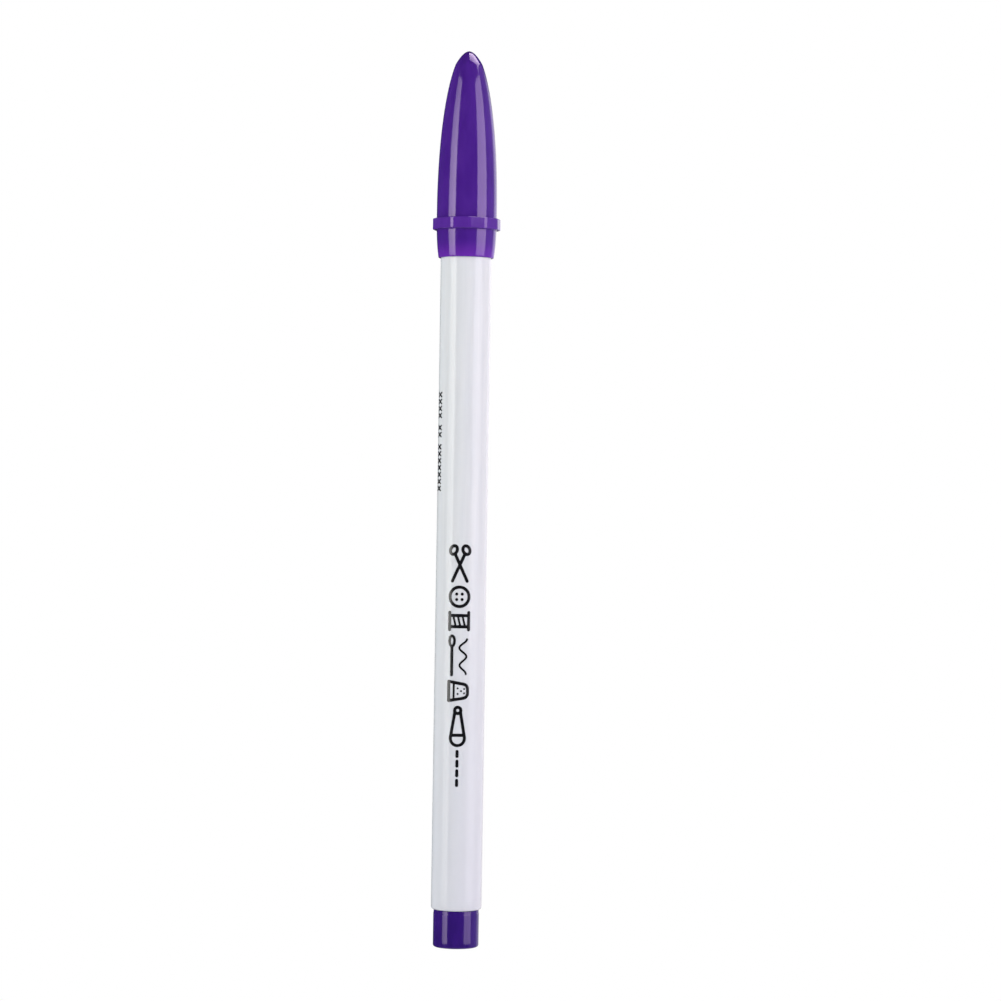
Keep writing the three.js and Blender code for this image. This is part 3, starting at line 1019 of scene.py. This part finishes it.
def thimble_sign():
    """A thimble on its rim, with rows of dimples."""
    low, high = SIGN_LOW + STROKE / 2, SIGN_HIGH - STROKE / 2
    length = 3.1
    band_y = low + 0.85
    side = [(0, low), (0, low + 0.01), (0.42, high - 0.7), *arc(1.22, high - 0.8, 0.8, 170, 90, 8)]
    mirrored = [(length - px, py) for px, py in side]
    strokes = [
        (side + list(reversed(mirrored)), STROKE),
        ([(0, low), (length, low)], STROKE),
        ([(0.2, band_y), (2.9, band_y)], FINE_STROKE),
    ]
    for x, up in ((1.1, 1.5), (2.0, 1.5), (1.55, 2.05), (1.2, 2.55), (1.9, 2.55)):
        strokes.append(([(x, low + up), (x, low + up)], FINE_STROKE))
    return strokes, length


def stitch_sign(count):
    """A row of running stitches."""
    step = 1.55
    stitch = 0.8
    strokes = []
    for k in range(count):
        strokes.append(([(step * k, SIGN_MIDDLE), (step * k + stitch, SIGN_MIDDLE)], STROKE))
    return strokes, step * count - (step - stitch)


def main_strokes():
    """The row of signs, one after another."""
    x = STROKE / 2
    strokes = []
    for sign, width in (
        scissors_sign(),
        button_sign(),
        spool_sign(),
        needle_sign(),
        thimble_sign(),
        pin_sign(),
        stitch_sign(4),
    ):
        strokes += moved(sign, x)
        x += width + SIGN_GAP
    return strokes


CROSS_HALF = (0.34, 0.56)
CROSS_STROKE = 0.27
CROSS_STEP = 1.12
CROSS_SPACE = 0.85
CROSS_GROUPS = (4, 2, 7)
CROSSES_TOP_Z = 89.6
CROSSES_FACING_DEG = -68
CROSSES_PITCH = 0.06


def small_strokes():
    """A short row of cross stitches, in three groups."""
    half_x, half_y = CROSS_HALF
    strokes = []
    x = half_x
    for count in CROSS_GROUPS:
        for _ in range(count):
            for side in (-1, 1):
                ends = [(x - half_x, -side * half_y), (x + half_x, side * half_y)]
                strokes.append((ends, CROSS_STROKE))
            x += CROSS_STEP
        x += CROSS_SPACE
    return strokes


def make_marks(material):
    """The two printed rows on the barrel."""
    make_print(
        "printed_signs", main_strokes(), SIGNS_TOP_Z, SIGNS_FACING_DEG, SIGNS_PITCH, material
    )
    make_print(
        "printed_stitches", small_strokes(), CROSSES_TOP_Z, CROSSES_FACING_DEG, CROSSES_PITCH, material
    )


# ---- the studio ---------------------------------------------------------------------------------


def camera_white(tree, other):
    """A shader that is plain white to the camera and the other shader to everything else."""
    white = add(tree, "ShaderNodeEmission", {"Color": (1, 1, 1, 1), "Strength": 1.0})
    seen = add(tree, "ShaderNodeLightPath").outputs["Is Camera Ray"]
    return add(tree, "ShaderNodeMixShader", {0: seen, 1: other, 2: white.outputs[0]}).outputs[0]


def make_floor():
    """A wide pale floor that lights the pen softly from below."""
    material = bpy.data.materials.new("floor_pale")
    material.use_nodes = True
    tree = material.node_tree
    tree.nodes.clear()
    mottle = noise(tree, place_mm(tree), 0.02, 2.0)
    colour = blend_colour(tree, mottle, (0.55, 0.55, 0.57), (0.6, 0.6, 0.62))
    matt = add(tree, "ShaderNodeBsdfDiffuse", {"Color": colour})
    glow = add(tree, "ShaderNodeEmission", {"Color": (1, 1, 1, 1), "Strength": FLOOR_GLOW})
    both = add(tree, "ShaderNodeAddShader", {0: matt.outputs[0], 1: glow.outputs[0]})
    add(tree, "ShaderNodeOutputMaterial", {0: camera_white(tree, both.outputs[0])})
    grid = bmesh.new()
    bmesh.ops.create_grid(grid, x_segments=8, y_segments=8, size=12)
    mesh = bpy.data.meshes.new("floor")
    grid.to_mesh(mesh)
    grid.free()
    mesh.materials.append(material)
    floor = bpy.data.objects.new("floor", mesh)
    floor.visible_shadow = False
    floor.visible_glossy = False
    bpy.context.scene.collection.objects.link(floor)


def rim_panel(tree, parts):
    """How bright the panel behind on the right is, from 0 to 1, in a direction with those parts."""
    right = grade(tree, parts["X"], 0.0, 0.03)
    behind = grade(tree, parts["Y"], 0.58, 0.72)
    leaning = calculate(tree, "MULTIPLY_ADD", parts["X"], 0.5)
    leaning.node.inputs[2].default_value = 0.02
    low = grade(tree, calculate(tree, "SUBTRACT", parts["Z"], leaning), 0.06, -0.06)
    fade = grade(tree, parts["Z"], -0.12, 0.08, 0.5, 1.0)
    panel = calculate(tree, "MULTIPLY", calculate(tree, "MULTIPLY", right, behind), low)
    return calculate(tree, "MULTIPLY", panel, fade)


def make_world():
    """White to look at. What it gives off is a dim room with a bright panel behind on the right."""
    world = bpy.data.worlds.new("studio")
    bpy.context.scene.world = world
    world.use_nodes = True
    tree = world.node_tree
    tree.nodes.clear()
    direction = add(tree, "ShaderNodeTexCoord").outputs["Generated"]
    parts = add(tree, "ShaderNodeSeparateXYZ", {0: direction}).outputs
    panel = rim_panel(tree, parts)
    side = calculate(
        tree, "MULTIPLY", grade(tree, parts["X"], 0.5, 0.8), grade(tree, parts["Y"], -0.3, -0.05)
    )
    below = grade(tree, parts["Z"], -0.55, -0.8, 0.0, LIGHT_FROM_BELOW)
    level = calculate(tree, "ADD", calculate(tree, "MULTIPLY", panel, RIM_LIGHT), below)
    level = calculate(tree, "ADD", level, calculate(tree, "MULTIPLY", side, SIDE_LIGHT))
    level = calculate(tree, "ADD", level, ROOM_LIGHT)
    room = add(tree, "ShaderNodeBackground", {"Color": (1.0, 0.98, 1.02, 1), "Strength": level})
    add(tree, "ShaderNodeOutputWorld", {0: camera_white(tree, room.outputs[0])})


def make_softbox(name, azimuth_deg, elevation_deg, away, size, up, tint, across=(1.0, 1.0)):
    """A rectangular lamp that faces the pen's front end. Azimuth 0 is the camera's side.

    Its radiance is graded over it: (bottom, middle, top) up it, and (left, right) across it as the
    pen sees it.
    """
    width, height = size
    data = bpy.data.lights.new(name, "AREA")
    data.shape = "RECTANGLE"
    data.size = width
    data.size_y = height
    data.energy = math.pi * width * height
    data.color = tint
    data.use_nodes = True
    tree = data.node_tree
    place = add(tree, "ShaderNodeNewGeometry").outputs["Parametric"]
    parts = add(tree, "ShaderNodeSeparateXYZ", {0: place}).outputs
    lower = grade(tree, parts["Y"], 0.0, 0.45, up[0], up[1])
    upper = grade(tree, parts["Y"], 0.5, 0.9, 1.0, up[2] / up[1])
    sideways = grade(tree, parts["X"], 0.0, 1.0, across[0], across[1])
    level = calculate(tree, "MULTIPLY", calculate(tree, "MULTIPLY", lower, upper), sideways)
    tree.links.new(level, tree.nodes["Emission"].inputs["Strength"])
    azimuth, elevation = math.radians(azimuth_deg), math.radians(elevation_deg)
    flat = away * math.cos(elevation)
    rise = away * math.sin(elevation)
    lamp = bpy.data.objects.new(name, data)
    lamp.location = (flat * math.sin(azimuth), -flat * math.cos(azimuth), SOFTBOX_AIM_Z + rise)
    lamp.rotation_euler = (math.radians(90) - elevation, 0, azimuth)
    lamp.visible_camera = False
    bpy.context.scene.collection.objects.link(lamp)
    return lamp


def make_lights():
    """Two upright softboxes, one above that only glints on the cap's tip, and three soft fills."""
    make_softbox(
        "softbox_left", azimuth_deg=-58, elevation_deg=4, away=SOFTBOX_AWAY, size=(0.313, 0.64),
        up=(2.3, 4.3, 2.7), across=(0.84, 1.27), tint=(1.0, 1.0, 0.96),
    )
    make_softbox(
        "softbox_right", azimuth_deg=61.3, elevation_deg=4, away=SOFTBOX_AWAY, size=(0.437, 0.64),
        up=(1.9, 3.9, 3.3), tint=(1.0, 0.93, 1.0),
    )
    top = make_softbox(
        "softbox_top", azimuth_deg=98, elevation_deg=62, away=SOFTBOX_AWAY, size=(0.42, 0.62),
        up=(5, 8, 8), across=(0.6, 1.2), tint=(1.0, 0.9, 1.0),
    )
    top.visible_diffuse = False
    for name, azimuth, elevation, radiance, tint in (
        ("fill_front", 12, 30, 0.75, (0.88, 1.0, 1.02)),
        ("fill_left", -130, 10, 2.2, (0.9, 1.0, 1.04)),
        ("fill_right", 108, 10, 0.3, (1.0, 1.0, 0.8)),
    ):
        size = (FILL_SIZE, FILL_SIZE)
        fill = make_softbox(name, azimuth, elevation, FILL_AWAY, size, 3 * (radiance,), tint)
        fill.visible_glossy = False


# ---- all together -------------------------------------------------------------------------------

make_camera()
make_world()
make_floor()
make_lights()

violet_deep = (0.064, 0.0135, 0.245)
violet_light = (0.078, 0.0185, 0.275)
# The glow colour is a painted glow near the cap's rim, standing for light through its thin wall. The
# collar colour is a painted sheen on the collar's flats.
cap_violet = violet_plastic(
    "cap_violet", violet_deep, violet_light, glow=(0.15, 0.026, 0.42),
    glow_z=(CAP_RIM_Z + 3.2, CAP_RIM_Z - 0.6), sheen_and_grain=(0.13, 0.035, 0.38),
)
holder_violet = violet_plastic("holder_violet", violet_deep, violet_light, roughness=0.2)
plug_violet = violet_plastic("plug_violet", (0.032, 0.0085, 0.165), (0.041, 0.0105, 0.195))

make_barrel(barrel_plastic())
make_plug(plug_violet)
make_holder(holder_violet)
make_nib(fibre("nib_fibre", (0.018, 0.006, 0.09), (0.05, 0.02, 0.16), 9.0, damp_z=(130, 134)))
make_reservoir(
    fibre("inked_fibre", (0.06, 0.02, 0.2), (0.2, 0.1, 0.42), 5.0),
    clear_film(),
    natural_plastic("straw_plastic", (0.7, 0.7, 0.68), (0.8, 0.8, 0.77)),
)
make_cap(cap_violet)
make_liner(natural_plastic("liner_plastic", (0.74, 0.74, 0.71), (0.82, 0.82, 0.78)))
make_marks(print_ink())

view = bpy.context.scene.view_settings
view.view_transform = "Standard"
